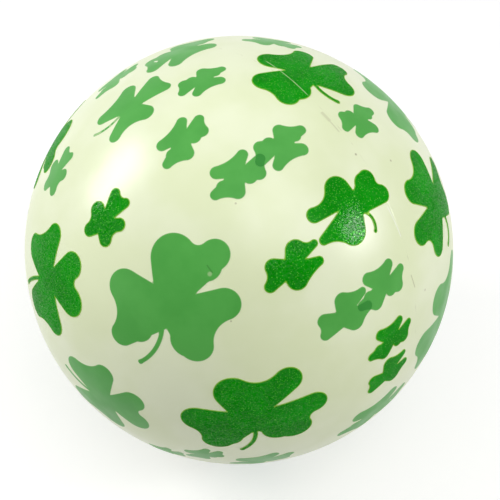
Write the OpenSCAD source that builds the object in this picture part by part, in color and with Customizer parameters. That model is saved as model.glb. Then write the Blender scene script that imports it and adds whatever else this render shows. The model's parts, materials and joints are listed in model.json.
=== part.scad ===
// Inflatable moulded vinyl play ball with a scattered shamrock print and a plug valve.
// The origin is the centre of the ball, +Z is up and the printed face looks forwards (-Y) and up.

/* [Ball] */
// Outside diameter of the inflated ball
ball_d = 230; // [180:1:300]
// Thickness of the moulded vinyl wall
wall = 0.5; // [0.4:0.1:1.5]
// Width of the fine groove left where the mould halves met
parting_w = 0.5; // [0.3:0.1:1]
// Depth of the parting groove
parting_depth = 0.12; // [0.05:0.01:0.25]

/* [Valve seat] */
// Diameter of the thick boss moulded inside the wall to carry the valve
boss_d = 26; // [24:1:40]
// Depth of the boss below the outside of the ball
boss_t = 5; // [4:0.5:8]
// Diameter of the valve seat's flange
flange_d = 16; // [15:0.5:20]
// Thickness of the flange, measured at its middle
flange_t = 2.2; // [2:0.1:3]
// Outside diameter of the valve seat's tube
tube_d = 10; // [9:0.5:11]
// Length of the tube below the flange
tube_len = 13; // [9:0.5:20]
// Diameter of the barb that keeps the tube in the boss
barb_d = 12.4; // [11.6:0.1:14]
// Length of the barb's taper
barb_len = 2.5; // [1.5:0.1:3.5]
// Diameter of the inflation bore
bore_d = 5; // [4:0.1:6]

/* [Plug] */
// Diameter of the plug's head
head_d = 9; // [8:0.1:10]
// Thickness of the plug's head
head_t = 1.1; // [0.8:0.1:1.4]
// Length of the plug's shank below its head
shank_len = 12; // [8:0.5:16]
// Depth of the grooves between the sealing ribs
rib_depth = 0.3; // [0.1:0.05:0.5]
// Number of sealing ribs
rib_count = 3; // [1:1:4]
// Height of one sealing rib
rib_h = 1.4; // [0.8:0.1:1.8]
// Length of the plug's tapered tip
tip_len = 2.5; // [1.5:0.1:3.5]
// Radius of the scoop that lets a finger nail under the plug's head
scoop_r = 2.6; // [2:0.1:3]
// Depth of the scoop below the seat of the plug's head
scoop_dip = 0.4; // [0.2:0.1:0.6]

/* [Clearances] */
// Depth of the valve's outer faces below the surface of the ball
valve_sink = 0.1; // [0.05:0.05:0.3]
// Glue line between the tube and the hole in the boss
glue_gap = 0.05; // [0.02:0.01:0.1]
// Open gap round the flange and round the plug's head
rim_gap = 0.3; // [0.2:0.05:0.5]
// Running clearance between the plug's ribs and the bore
rib_gap = 0.04; // [0.02:0.01:0.08]
// Room between the barb and the underside of the boss
barb_gap = 0.2; // [0.1:0.05:0.4]
// Bond line under each layer of ink
ink_gap = 0.02; // [0.01:0.01:0.05]

/* [Print] */
// Height of the middle of the printed face above the horizon, in degrees
face_tilt = 45; // [0:1:90]
// Clockwise turn of the hidden half's print, in degrees
hidden_spin = 245; // [0:5:355]
// Size of every stamp, in percent of its drawn size
stamp_scale = 100; // [80:1:110]
// Thickness of one layer of ink
ink_t = 0.1; // [0.08:0.01:0.2]
// Bare margin kept between the print and the valve
valve_margin = 1; // [0:0.5:5]
// Place of the valve: bearing clockwise from the top of the printed face, in degrees
valve_bearing = 58; // [0:1:359]
// Place of the valve: angle from the middle of the printed face, in degrees
valve_angle = 128; // [110:1:180]

/* [Hidden] */

$fn = 96;
sphere_fn = 180;

ball_r = ball_d / 2;
bore_r = bore_d / 2;
tube_r = tube_d / 2;
flange_r = flange_d / 2;
head_r = head_d / 2;
recess_r = flange_r + rim_gap;

// Heights on the valve's axis, measured from the centre of the ball
seat_top = ball_r - valve_sink;
recess_floor = seat_top - flange_t;
head_floor = seat_top - head_t;
tube_end = recess_floor - tube_len;
barb_top = ball_r - boss_t - barb_gap;

// Plug sizes that follow the bore
rib_r = bore_r - rib_gap;
groove_r = rib_r - rib_depth;
plug_tip_r = groove_r * 0.7;
rib_step = (shank_len - tip_len) / rib_count;

// How deep a leaf's side runs into its lobe, and how far the notch's fillet bites into the lobes
bite_ratio = 0.98;
// Width of a stem's round tip against the stem
tip_ratio = 1.2;

// Length of one drawn unit of a cut: the cuts are drawn for a ball of 115 mm radius and grow with it
cut_unit = ball_r / 115;

// Shamrock cuts, drawn flat.
// Lobes, two to a leaf and clockwise: bearing from the top, reach from the middle, radius.
// Then the inner end of the gap after each leaf: bearing, reach. Then the radius in each leaf's notch,
// the stem: centre of its bend, radius of the bend, first and last angle, width,
// and the pads that fill out a leaf's sides, placed as lobes are.
broad = [
    [[337.5, 20.9, 10.8], [16, 29.5, 7], [64, 23.5, 7.5], [128, 21, 8.5], [213, 30.5, 6], [261, 23.5, 8.5]],
    [[40, 12], [170.5, 12], [292, 12.5]], [4, 12, 12],
    [[-24.6, -19.2], 25.5, 30, -36.5, 2.2],
    [[18, 23.6, 6.7], [133, 18, 8.7], [210, 21, 7.2]]
];
spread = [
    [[330, 18.5, 9.3], [36, 27, 7], [82, 28.8, 6.7], [121, 22.7, 8.9], [221, 25.7, 8], [263, 26.1, 8.4]],
    [[57, 11.8], [175, 10.7], [289, 13]], [12, 4, 8],
    [[-22.2, -13.8], 23.2, 18, -43, 2.3],
    [[129, 16.6, 9.3], [220, 20.6, 8.5]]
];
lean = [
    [[303, 17, 7], [12, 22.2, 5.3], [55, 27.5, 5], [97, 20, 7.2], [209, 21.7, 5.9], [245, 22, 6.3]],
    [[33, 9], [152, 9], [274, 9]], [12, 8, 10],
    [[18.5, -2], 15, 192, 257, 2.2],
    [[205, 14.2, 8]]
];
tall = [
    [[300, 23, 6], [356, 21.5, 7.3], [55, 27.5, 5], [97, 20, 7.2], [203, 19.3, 6.1], [251, 24, 6.2]],
    [[30, 11], [152, 9], [277, 11.5]], [10, 8, 5],
    [[2.8, -14.6], 9.2, 55, -53, 2.2],
    []
];
fan = [
    [[68, 22.4, 6.8], [116, 19.5, 8.1], [187, 21, 7.5], [238, 26.2, 7.6], [312, 21.8, 7.3], [14, 22.3, 6.1]],
    [[149, 9], [270, 10], [41, 9]], [3, 16, 20],
    [[-5.8, -83], 83.3, 88, 110, 2.2],
    []
];
// The leaves of the fan with the stem swept up
wave = [fan[0], fan[1], fan[2], [[-7.1, 34.2], 33.9, -90, -128.5, 2.3], []];
slim = [
    [[324, 20, 3.7], [23, 10, 6.8], [103, 16.4, 4.9], [135, 18.9, 4.6], [249, 10.8, 7.1], [291, 21.7, 2.4]],
    [[76, 7.7], [187, 6.6], [318, 8.1]], [8, 2.5, 12],
    [[-7, -8.1], 7.6, 15, -75, 1.7],
    [[103, 13.5, 5.7]]
];
stemmed = [
    [[22, 19.2, 3], [57, 18.6, 3], [123, 10.8, 4.5], [199, 17.3, 3.4], [263, 16.5, 3.6], [337, 14.5, 4.2]],
    [[84, 5.6], [231, 6], [0, 6]], [14, 12, 18],
    [[-18.5, 4.5], 15.5, -35, -93, 1.5],
    []
];
sprig = [
    [[52, 12.4, 2.4], [84, 9.6, 3.2], [173, 7.8, 3.3], [222, 12.6, 2.4], [273, 8.4, 3], [14, 9.4, 2.5]],
    [[128, 4.6], [246, 5.4], [38, 5.8]], [6, 10, 16], [],
    [[100, 5.8, 3.2], [221, 8, 3.1]]
];
sprout = [
    [[50, 12.6, 2.3], [84, 9.8, 3.2], [187, 7.6, 3.4], [222, 12.8, 2.4], [284, 8.4, 3], [12, 9.5, 2.6]],
    [[131, 4.6], [250, 5.4], [37, 5.8]], [6, 10, 14], [],
    [[100, 5.8, 3.2], [225, 8, 3]]
];
squat = [
    [[350, 8.1, 4], [37, 14.3, 2.1], [70, 12.6, 2.8], [106, 6.25, 4.65], [228, 10.8, 2.8], [266, 9.5, 3.4]],
    [[50, 7.8], [177, 4.4], [305, 5.2]], [12, 10, 4], [], []
];
budding = [
    [[17.5, 12.3, 2.8], [54, 12, 2.5], [111, 7.7, 3.3], [183, 9.1, 3.6], [248, 10.9, 3.5], [310, 7.5, 4.2]],
    [[84, 4.7], [217, 8.2], [346, 5.6]], [3, 4, 4], [], []
];
curl = [
    [[10, 7.2, 5], [44, 14.1, 1.9], [79, 12.4, 2.3], [159, 6, 5.2], [228, 13.4, 2.9], [268, 8.8, 4]],
    [[60, 6.8], [205, 7.6], [312, 5.1]], [4, 25, 5], [], []
];

// Stamps of the printed face: cut, bearing of the place clockwise from the top of the face,
// angle from the middle of the face, clockwise turn of the stamp, size in percent.
light_stamps = [
    [broad, 231, 19.5, 25, 100],
    [wave, 222, 59, 5, 93],
    [lean, 46, 72, 322, 100],
    [lean, 107, 73, 0, 118],
    [stemmed, 323, 47.5, 0, 100],
    [sprig, 344, 64, 168, 155],
    [sprig, 140, 68, 13, 150],
    [sprig, 332.3, 29.4, 343, 105],
    [sprig, 348, 45, 180, 95],
    [sprig, 358, 17, 2, 105],
    [sprout, 43, 47, 184, 97],
    [sprout, 104, 36, 8, 108],
    [budding, 293, 57, 0, 95],
    [sprig, 190, 64.5, 5, 85],
    [sprig, 324, 68, 346, 100],
    [sprig, 9, 69, 42, 105],
    [sprig, 174, 69, 15, 120],
    [sprig, 200, 73, 10, 85]
];
// Light stamps that lap over their neighbours, so they lie in a layer above
lapped_stamps = [
    [sprig, 23, 26, 181, 106],
    [squat, 123, 29.5, 0, 103]
];
dark_stamps = [
    [spread, 175, 43, 358, 100],
    [fan, 261, 54, 0, 100],
    [lean, 20, 51.5, 0, 100],
    [tall, 77, 60, 338, 102],
    [broad, 300, 78.5, 125, 88],
    [slim, 69, 28.5, 292, 100],
    [budding, 283, 32.5, 0, 100],
    [curl, 107, 12.5, 0, 100],
    [sprout, 120.3, 46.2, 10, 100],
    [squat, 130.2, 54.5, 0, 93]
];

function polar(bearing, reach) = reach * [sin(bearing), cos(bearing)];

// Direction of a place on the ball, in the frame of the printed face
function outward(bearing, angle) = [sin(angle) * sin(bearing), sin(angle) * cos(bearing), cos(angle)];
function tilt_axis(bearing) = [-cos(bearing), sin(bearing), 0];
function tilted(v, axis, angle) =
    v * cos(angle) + cross(axis, v) * sin(angle) + axis * (axis * v) * (1 - cos(angle));

// A flat point of a stamp, carried onto the ball where the stamp is printed
function on_ball(p, stamp) =
    let (flat = polar(atan2(p[0], p[1]) + stamp[3], norm(p)))
    tilted([flat[0], flat[1], sqrt(ball_r * ball_r - flat * flat)], tilt_axis(stamp[1]), stamp[2]);

// The same print carried to the hidden half of the ball, and a direction seen from that half
function respun(stamp) = [stamp[0], stamp[1] + hidden_spin, stamp[2], stamp[3] + hidden_spin, stamp[4]];
function from_behind(v) = [-v[0], v[1], -v[2]];

function stamp_size(stamp) = cut_unit * stamp[4] / 100 * stamp_scale / 100;

// Radius at the underside of a layer of ink
function layer_r(layer) = ball_r + ink_gap + layer * (ink_t + ink_gap);

// Least distance from the valve's middle to the lobes of a stamp
function valve_room(stamp, valve) =
    min([for (lobe = stamp[0][0])
        norm(on_ball(polar(lobe[0], lobe[1]) * stamp_size(stamp), stamp) - ball_r * valve)
            - lobe[2] * stamp_size(stamp)]);
function clear_of_valve(stamp, valve) = valve_room(stamp, valve) > recess_r + valve_margin;

// Where a leaf's side, drawn from a point at the hub, runs into its lobe
function side_end(from, centre, r, side) =
    let (
        away = centre - from,
        reach = norm(away),
        turn = atan2(away[1], away[0]) + 180 + side * acos(min(1, r / reach))
    )
    reach > r * 1.02 ? centre + bite_ratio * r * [cos(turn), sin(turn)] : centre;

// Centre of the fillet circle that lies in the notch between two lobes
function notch_centre(c1, r1, c2, r2, fillet) =
    let (
        apart = norm(c2 - c1),
        along = (c2 - c1) / apart,
        a = bite_ratio * r1 + fillet,
        b = bite_ratio * r2 + fillet,
        x = (apart * apart + a * a - b * b) / (2 * apart)
    )
    c1 + along * x + sqrt(max(0, a * a - x * x)) * [-along[1], along[0]];

// One heart-shaped leaf between the gaps at its two sides
module leaf(first, last, gap_before, gap_after, fillet) {
    c1 = polar(first[0], first[1]);
    c2 = polar(last[0], last[1]);
    notch = notch_centre(c1, first[2], c2, last[2], fillet);
    translate(c1) circle(first[2]);
    translate(c2) circle(last[2]);
    difference() {
        polygon([
            [0, 0],
            gap_before,
            side_end(gap_before, c1, first[2], -1),
            c1,
            notch,
            c2,
            side_end(gap_after, c2, last[2], 1),
            gap_after
        ]);
        translate(notch) circle(fillet);
    }
}

// Curved stem with a round tip
module stem(centre, bend_r, first, last, width) {
    far = 2 * bend_r;
    middle = (first + last) / 2;
    translate(centre) {
        intersection() {
            difference() {
                circle(bend_r + width / 2);
                circle(bend_r - width / 2);
            }
            polygon([[0, 0], for (a = [first, middle, last]) far * [cos(a), sin(a)]]);
        }
        translate(bend_r * [cos(last), sin(last)]) circle(tip_ratio * width / 2);
    }
}

// Flat outline of a whole shamrock
module shamrock(cut) {
    lobes = cut[0];
    gaps = [for (gap = cut[1]) polar(gap[0], gap[1])];
    notches = cut[2];
    bend = cut[3];
    pads = cut[4];
    for (i = [0 : 2]) leaf(lobes[2 * i], lobes[2 * i + 1], gaps[(i + 2) % 3], gaps[i], notches[i]);
    for (pad = pads) translate(polar(pad[0], pad[1])) circle(pad[2]);
    if (len(bend) > 0) stem(bend[0], bend[1], bend[2], bend[3], bend[4]);
}

// Ball with its poles to the sides, so that no seam runs under a stamp
module side_sphere(r) {
    rotate([0, 90, 0]) sphere(r, $fn = sphere_fn);
}

// One stamp of ink as a film that follows the ball
module ink_film(stamp, inner_r) {
    rotate(a = stamp[2], v = tilt_axis(stamp[1]))
        rotate([0, 0, -stamp[3]])
            difference() {
                intersection() {
                    linear_extrude(ball_d) scale(stamp_size(stamp)) shamrock(stamp[0]);
                    side_sphere(inner_r + ink_t);
                }
                side_sphere(inner_r);
            }
}

// A whole print: the face that shows and the hidden half, bare where the valve is
module print(stamps, inner_r) {
    valve = outward(valve_bearing, valve_angle);
    rotate([face_tilt, 0, 0]) {
        for (stamp = stamps)
            if (clear_of_valve(stamp, valve)) ink_film(stamp, inner_r);
        rotate([0, 180, 0])
            for (stamp = stamps)
                if (clear_of_valve(respun(stamp), from_behind(valve))) ink_film(respun(stamp), inner_r);
    }
}

// Carries what is drawn round the Z axis to the valve's axis
module at_valve() {
    rotate([face_tilt, 0, 0]) rotate(a = valve_angle, v = tilt_axis(valve_bearing)) children();
}

// Rectangle of a turned profile, from one radius and height to another
module band(r1, z1, r2, z2) {
    translate([r1, z1]) square([r2 - r1, z2 - z1]);
}

// Hollow ball with the valve boss inside, the valve's recess and the parting groove
module ball_shell() {
    color([0.92, 0.94, 0.82])
        at_valve()
            rotate_extrude($fn = sphere_fn)
                difference() {
                    intersection() {
                        circle(ball_r, $fn = sphere_fn);
                        band(0, -ball_r, ball_r, ball_r);
                    }
                    difference() {
                        circle(ball_r - wall, $fn = sphere_fn);
                        polygon([
                            [-ball_r, ball_r - boss_t],
                            [boss_d / 2, ball_r - boss_t],
                            [boss_d / 2 + boss_t, ball_r],
                            [-ball_r, ball_r]
                        ]);
                    }
                    band(-ball_r, recess_floor, recess_r, ball_d);
                    band(-ball_r, 0, tube_r + glue_gap, ball_d);
                    band(ball_r - parting_depth, -parting_w / 2, ball_d, parting_w / 2);
                }
}

// Flanged tube glued into the boss, with a barb inside the ball and a seat for the plug's head
module valve_seat() {
    color([0.9, 0.91, 0.86])
        at_valve()
            difference() {
                rotate_extrude()
                    intersection() {
                        circle(seat_top, $fn = sphere_fn);
                        polygon([
                            [bore_r, tube_end],
                            [bore_r, head_floor],
                            [head_r + rim_gap, head_floor],
                            [head_r + rim_gap, ball_r],
                            [flange_r, ball_r],
                            [flange_r, recess_floor],
                            [tube_r, recess_floor],
                            [tube_r, barb_top],
                            [barb_d / 2, barb_top],
                            [tube_r, barb_top - barb_len],
                            [tube_r, tube_end]
                        ]);
                    }
                translate([head_r + rim_gap, 0, head_floor + scoop_r - scoop_dip])
                    rotate([90, 0, 0]) cylinder(r = scoop_r, h = head_r, center = true);
            }
}

// Push-in plug with a domed head, sealing ribs and a tapered tip
module valve_plug() {
    shank_end = head_floor - shank_len;
    color([0.95, 0.95, 0.93])
        at_valve()
            rotate_extrude()
                union() {
                    intersection() {
                        circle(seat_top, $fn = sphere_fn);
                        band(0, head_floor, head_r, ball_r);
                    }
                    band(0, shank_end + tip_len, groove_r, head_floor);
                    for (i = [0 : rib_count - 1])
                        band(0, head_floor - i * rib_step - rib_h, rib_r, head_floor - i * rib_step);
                    polygon([
                        [0, shank_end],
                        [plug_tip_r, shank_end],
                        [groove_r, shank_end + tip_len],
                        [0, shank_end + tip_len]
                    ]);
                }
}

// Light ink, printed on the vinyl in two passes
module light_print() {
    color([0.32, 0.66, 0.33]) {
        print(light_stamps, layer_r(0));
        print(lapped_stamps, layer_r(1));
    }
}

// Dark glitter ink, printed over the light ink
module dark_print() {
    color([0.05, 0.55, 0.05]) print(dark_stamps, layer_r(2));
}

ball_shell();
valve_seat();
valve_plug();
dark_print();
light_print();
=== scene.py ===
"""Dressed model of a printed vinyl play ball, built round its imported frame.

The shell gets a smooth skin with the groove where its mould halves met. Both inks are printed on it
as films, and the valve seat and its plug keep their solids and get their finishes.
Flat drawings and the ball's sizes are in millimetres, and angles are in degrees. Meshes and the stage
are in metres.
"""

import json
import logging
import math
from dataclasses import dataclass, field, replace
from enum import Enum
from functools import reduce
from typing import Protocol

import bpy
import numpy as np
from mathutils import Matrix, Vector, geometry

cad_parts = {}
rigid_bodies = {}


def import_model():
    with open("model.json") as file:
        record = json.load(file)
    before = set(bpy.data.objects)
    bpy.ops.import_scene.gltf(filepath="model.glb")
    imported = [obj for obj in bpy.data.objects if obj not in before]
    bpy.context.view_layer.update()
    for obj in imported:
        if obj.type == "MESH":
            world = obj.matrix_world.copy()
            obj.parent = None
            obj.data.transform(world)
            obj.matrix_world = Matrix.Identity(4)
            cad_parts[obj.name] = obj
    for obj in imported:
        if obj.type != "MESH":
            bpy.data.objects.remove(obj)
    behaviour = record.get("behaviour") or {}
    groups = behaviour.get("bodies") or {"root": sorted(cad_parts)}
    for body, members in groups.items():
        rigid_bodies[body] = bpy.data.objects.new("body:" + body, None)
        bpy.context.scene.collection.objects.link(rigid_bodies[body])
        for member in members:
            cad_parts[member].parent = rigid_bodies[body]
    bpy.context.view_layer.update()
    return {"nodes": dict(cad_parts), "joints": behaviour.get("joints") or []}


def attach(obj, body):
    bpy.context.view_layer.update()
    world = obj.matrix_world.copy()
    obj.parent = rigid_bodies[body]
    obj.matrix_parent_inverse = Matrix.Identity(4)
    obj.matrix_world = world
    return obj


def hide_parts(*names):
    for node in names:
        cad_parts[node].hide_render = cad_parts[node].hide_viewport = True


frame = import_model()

LOG = logging.getLogger("play_ball")

MM = 0.001
BALL_R = 115.0
# Lean of the middle of the printed face from straight up towards the front
FACE_TILT = 45.0
# Turn of the hidden half's print against that of the face
HIDDEN_SPIN = 245.0
# The plug slides along this axis, and the mould halves met square to it
VALVE_AXIS = Vector(frame["joints"][0]["axis"]).normalized()
# Edges that bend more than this stay crisp
SHARP_EDGE = 40.0
PLASTIC_IOR = 1.5
# Attribute of a print that runs from 0 at its edge to 1 inside its soft rim
RIM = "rim"

Tone = tuple[float, float, float, float]
Triple = tuple[float, float, float]
Edge = tuple[int, int, int]
Socket = bpy.types.NodeSocket
WHITE: Tone = (1.0, 1.0, 1.0, 1.0)


def tone(red: int, green: int, blue: int) -> Tone:
    """Turns a display colour into the linear colour that a shader takes.

    Args:
        red: Red from 0 to 255.
        green: Green from 0 to 255.
        blue: Blue from 0 to 255.

    Returns:
        The linear colour with a full alpha.
    """
    parts = [value / 255 for value in (red, green, blue)]
    linear = [p / 12.92 if p <= 0.04045 else ((p + 0.055) / 1.055) ** 2.4 for p in parts]
    return (linear[0], linear[1], linear[2], 1.0)


def polar(bearing: float, reach: float) -> np.ndarray:
    """Flat point at a bearing clockwise from the top."""
    angle = math.radians(bearing)
    return reach * np.array([math.sin(angle), math.cos(angle)])


def outward(bearing: float, angle: float) -> Vector:
    """Gives the direction of a place on the ball.

    Args:
        bearing: Bearing clockwise from the top of the printed face, in degrees.
        angle: Angle from the middle of the printed face, in degrees.

    Returns:
        The unit direction in the frame of the part.
    """
    turn, lean = math.radians(bearing), math.radians(angle)
    local = Vector((math.sin(lean) * math.sin(turn), math.sin(lean) * math.cos(turn), math.cos(lean)))
    return Matrix.Rotation(math.radians(FACE_TILT), 3, "X") @ local


class Half(Enum):
    """The two halves of the ball that carry the print."""

    FACE = 0
    HIDDEN = 1

    def spin(self) -> float:
        """Turn of the print on this half, in degrees."""
        return HIDDEN_SPIN * self.value


class LeafSide(Enum):
    """The two straight sides of a leaf, clockwise."""

    FIRST = -1
    LAST = 1


class Ink(Enum):
    """The printed layers, with the height of each layer's top above the vinyl in mm."""

    LIGHT = 0.07
    LAPPED = 0.10
    DOUBLED = 0.13
    DARK = 0.17


# Flat outlines

# Least squared length of a polygon's side, which keeps a side of no length from dividing by zero
TINY = 1e-12
# A leaf's side starts inside a lobe where it is nearer to its middle than this many radii
TOUCHING = 1.02
# Room left round an outline in the square that holds it
SQUARE_MARGIN = 1.0


class Outline(Protocol):
    """A flat shape known by its signed distance, which is negative inside."""

    def distance(self, p: np.ndarray) -> np.ndarray:
        """Signed distance of flat points from the edge."""

    def half_width(self) -> float:
        """Half the side of a square that holds the shape."""


def polygon_distance(p: np.ndarray, corners: list[np.ndarray]) -> np.ndarray:
    """Measures points against a polygon.

    Args:
        p: Flat points, with x and y on the last axis.
        corners: Corners of the polygon in order.

    Returns:
        The signed distance of each point, negative inside.
    """
    best = np.full(p.shape[:-1], np.inf)
    winding = np.zeros(p.shape[:-1], int)
    for a, b in zip(corners, corners[1:] + corners[:1]):
        side, away = b - a, p - a
        length = max(float(side @ side), TINY)
        along = np.clip(away @ side / length, 0, 1)
        best = np.minimum(best, np.linalg.norm(away - along[..., None] * side, axis=-1))
        left = side[0] * away[..., 1] - side[1] * away[..., 0]
        winding += (a[1] <= p[..., 1]) & (b[1] > p[..., 1]) & (left > 0)
        winding -= (a[1] > p[..., 1]) & (b[1] <= p[..., 1]) & (left < 0)
    return np.where(winding != 0, -best, best)


@dataclass(frozen=True)
class Lobe:
    """One round lobe of a leaf."""

    bearing: float
    reach: float
    radius: float

    def centre(self) -> np.ndarray:
        """Middle of the lobe."""
        return polar(self.bearing, self.reach)

    def distance(self, p: np.ndarray) -> np.ndarray:
        """Signed distance from the lobe's circle."""
        return np.linalg.norm(p - self.centre(), axis=-1) - self.radius

    def side_end(self, start: np.ndarray, side: LeafSide) -> np.ndarray:
        """Finds where a leaf's side touches the lobe.

        Args:
            start: Point at the hub that the side starts from.
            side: Which side of the leaf it is.

        Returns:
            The point of touch, or the lobe's middle where the start is inside the lobe.
        """
        away = self.centre() - start
        reach = float(np.hypot(*away))
        if reach <= self.radius * TOUCHING:
            return self.centre()
        turn = math.atan2(away[1], away[0]) + math.pi + side.value * math.acos(self.radius / reach)
        return self.centre() + self.radius * np.array([math.cos(turn), math.sin(turn)])


@dataclass(frozen=True)
class Stem:
    """Bent stem with a round tip."""

    centre: tuple[float, float]
    bend: float
    first: float
    last: float
    width: float
    tip: float = 1.2

    def end(self, angle: float) -> np.ndarray:
        """Point of the stem's middle line at an angle of its bend."""
        turn = math.radians(angle)
        return np.array(self.centre) + self.bend * np.array([math.cos(turn), math.sin(turn)])

    def distance(self, p: np.ndarray) -> np.ndarray:
        """Measures points against the stem.

        Args:
            p: Flat points, with x and y on the last axis.

        Returns:
            The signed distance of each point, negative inside.
        """
        away = p - np.array(self.centre)
        turn = np.degrees(np.arctan2(away[..., 1], away[..., 0])) - (self.first + self.last) / 2
        inside = np.abs((turn + 180) % 360 - 180) <= abs(self.first - self.last) / 2
        band = np.abs(np.linalg.norm(away, axis=-1) - self.bend)
        ends = [np.linalg.norm(p - self.end(angle), axis=-1) for angle in (self.first, self.last)]
        body = np.where(inside, band, np.minimum(*ends)) - self.width / 2
        return np.minimum(body, ends[1] - self.tip * self.width / 2)


@dataclass(frozen=True)
class Cut:
    """Flat outline of a shamrock: three leaves of two lobes, and a stem where it has one."""

    lobes: tuple[Lobe, ...]
    gaps: tuple[tuple[float, float], ...]
    notches: Triple
    stem: Stem | None = None
    pads: tuple[Lobe, ...] = ()

    def corners(self) -> list[np.ndarray]:
        """Inner ends of the gaps, each after the leaf of its number."""
        return [polar(bearing, reach) for bearing, reach in self.gaps]

    def notch_centre(self, leaf: int) -> np.ndarray:
        """Finds the middle of the circle that rounds the notch of a leaf.

        Args:
            leaf: Number of the leaf, clockwise.

        Returns:
            The circle's middle.
        """
        first, last = self.lobes[2 * leaf], self.lobes[2 * leaf + 1]
        step = last.centre() - first.centre()
        apart = float(np.hypot(*step))
        along = step / apart
        a, b = first.radius + self.notches[leaf], last.radius + self.notches[leaf]
        x = (apart * apart + a * a - b * b) / (2 * apart)
        across = math.sqrt(max(0.0, a * a - x * x)) * np.array([-along[1], along[0]])
        return first.centre() + along * x + across

    def distance(self, p: np.ndarray) -> np.ndarray:
        """Measures points against the whole shamrock.

        Args:
            p: Flat points, with x and y on the last axis.

        Returns:
            The signed distance of each point, negative inside.
        """
        gaps = self.corners()
        best = np.minimum.reduce([polygon_distance(p, gaps), *(pad.distance(p) for pad in self.pads)])
        for leaf in range(3):
            first, last = self.lobes[2 * leaf], self.lobes[2 * leaf + 1]
            before, after, notch = gaps[leaf - 1], gaps[leaf], self.notch_centre(leaf)
            sides = [
                np.zeros(2), before, first.side_end(before, LeafSide.FIRST), first.centre(), notch,
                last.centre(), last.side_end(after, LeafSide.LAST), after,
            ]
            bite = self.notches[leaf] - np.linalg.norm(p - notch, axis=-1)
            body = np.maximum(polygon_distance(p, sides), bite)
            best = np.minimum.reduce([best, body, first.distance(p), last.distance(p)])
        return best if self.stem is None else np.minimum(best, self.stem.distance(p))

    def half_width(self) -> float:
        """Sizes the square that holds the shamrock, with a margin.

        Returns:
            Half the side of the square.
        """
        reach = max(lobe.reach + lobe.radius for lobe in self.lobes)
        if self.stem:
            reach = max(reach, float(np.hypot(*self.stem.end(self.stem.last))) + self.stem.width)
        return reach + SQUARE_MARGIN


def cut(lobes: list[Triple], gaps: list[tuple[float, float]], notches: Triple,
        stem: Stem | None = None, pads: list[Triple] | None = None) -> Cut:
    """Draws a cut from plain numbers.

    Args:
        lobes: Bearing, reach and radius of each lobe, two to a leaf and clockwise.
        gaps: Bearing and reach of the inner end of the gap after each leaf.
        notches: Radius in the notch of each leaf.
        stem: Stem of the shamrock, if it has one.
        pads: Further circles that fill out a leaf's sides, placed as the lobes are.

    Returns:
        The cut.
    """
    round_parts = [tuple(Lobe(*row) for row in rows) for rows in (lobes, pads or [])]
    return Cut(round_parts[0], tuple(gaps), notches, stem, round_parts[1])


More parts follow.
